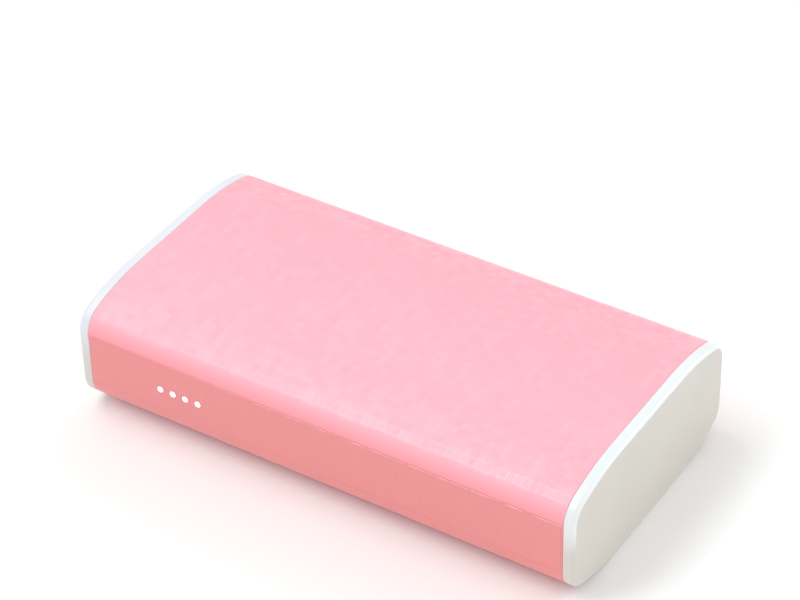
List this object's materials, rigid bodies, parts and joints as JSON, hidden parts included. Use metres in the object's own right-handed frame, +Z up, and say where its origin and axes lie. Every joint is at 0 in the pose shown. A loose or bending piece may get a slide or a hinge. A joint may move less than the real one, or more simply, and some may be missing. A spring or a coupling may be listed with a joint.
{
  "type": "power bank",
  "caption": "Pocket power bank with a pillow-section sleeve, rounded end caps, output and charging sockets in one cap, and a row of charge indicators lit by shaking.",
  "frame": {"origin": "middle of the footprint, on the surface it lies on", "axes": "+X along the body to the blank end cap, the sockets face -X, the indicators face -Y, +Z up"},
  "size_m": [0.14, 0.073, 0.0318],
  "materials": {
    "sleeve_pink": "satin coat with a faint square pattern",
    "cap_white": "fine satin",
    "tray_plastic": "matt moulded",
    "cell_wrap": "shrink-wrapped can",
    "ring_white": "matt card",
    "nickel": "rolled strip",
    "paper_green": "matt fibre paper",
    "foam_grey": "closed-cell foam",
    "board_green": "solder mask",
    "screw_steel": "plated",
    "socket_steel": "pressed sheet",
    "insert_white": "moulded",
    "insert_black": "moulded",
    "contact_gold": "gold-plated",
    "led_white": "lensed package",
    "guide_clear": "milky clear",
    "ferrite": "moulded ferrite",
    "chip_black": "moulded package with tinned legs",
    "capacitor_can": "satin can",
    "ceramic_tan": "fired ceramic",
    "sensor_brass": "drawn can",
    "ball_steel": "polished ball",
    "wire_red": "silicone sleeve",
    "wire_black": "silicone sleeve"
  },
  "bodies": {
    "casing": {"back_foam_strip": "foam_grey", "back_insulation_paper": "paper_green", "back_type_a_contacts": "contact_gold", "back_type_a_shell": "socket_steel", "back_type_a_tongue": "insert_white", "battery_cell_1": "cell_wrap", "battery_cell_2": "cell_wrap", "battery_cell_3": "cell_wrap", "battery_cell_4": "cell_wrap", "battery_cell_5": "cell_wrap", "board_screws": "screw_steel", "boost_chip": "chip_black", "cell_insulator_rings": "ring_white", "ceramic_capacitors": "ceramic_tan", "charge_control_chip": "chip_black", "front_foam_strip": "foam_grey", "front_insulation_paper": "paper_green", "front_type_a_contacts": "contact_gold", "front_type_a_shell": "socket_steel", "front_type_a_tongue": "insert_white", "indicator_led_1": "led_white", "indicator_led_2": "led_white", "indicator_led_3": "led_white", "indicator_led_4": "led_white", "indicator_light_guide": "guide_clear", "label_cap": "cap_white", "lower_cell_tray": "tray_plastic", "main_board": "board_green", "micro_socket_contacts": "contact_gold", "micro_socket_shell": "socket_steel", "micro_socket_tongue": "insert_black", "negative_strip": "nickel", "negative_wire": "wire_black", "outer_sleeve": "sleeve_pink", "output_capacitors": "capacitor_can", "port_cap": "cap_white", "positive_strip": "nickel", "positive_wire": "wire_red", "power_inductor": "ferrite", "shake_sensor_base": "insert_black", "shake_sensor_can": "sensor_brass", "upper_cell_tray": "tray_plastic"},
    "ball": {"shake_sensor_ball": "ball_steel"}
  },
  "joints": [
    {"name": "ball_rattle", "type": "slide", "parent": "casing", "child": "ball", "axis": [0, 0, 1], "range_m": [0, 0.0048]}
  ]
}
